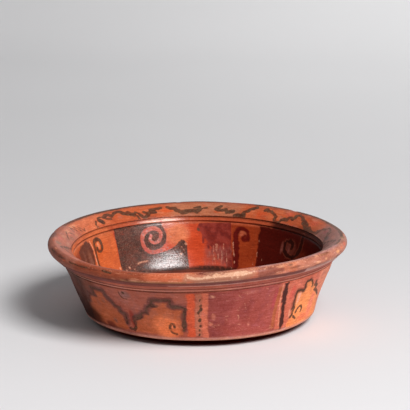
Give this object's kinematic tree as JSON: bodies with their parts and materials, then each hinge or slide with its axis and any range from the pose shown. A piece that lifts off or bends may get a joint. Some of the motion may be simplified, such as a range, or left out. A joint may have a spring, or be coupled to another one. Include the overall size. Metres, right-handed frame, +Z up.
{
  "type": "pottery bowl",
  "caption": "Low open hand-built pottery bowl with a rounded flaring rim, grooved neck, slanted wall and curved base with a flat foot, in painted and burnished red slip.",
  "frame": {"origin": "centre of the flat disc on the underside that the bowl rests on", "axes": "+Z up through the mouth of the bowl, -Y towards the side that the picture shows in front, +X towards the picture's right"},
  "size_m": [0.21, 0.21, 0.0601],
  "materials": {
    "base_slip": "thin worn slip over bare buff clay, matt",
    "wall_slip": "painted red, orange, maroon and black slip, burnished",
    "neck_slip": "purple-red slip, burnished, worn on the ridges",
    "rim_slip": "orange-red slip with a painted stepped line, burnished, worn at the lip"
  },
  "bodies": {
    "root": {"base_slab": "base_slip", "lower_wall_coil": "wall_slip", "upper_wall_coil": "wall_slip", "neck_coil": "neck_slip", "rim_coil": "rim_slip"}
  },
  "joints": []
}
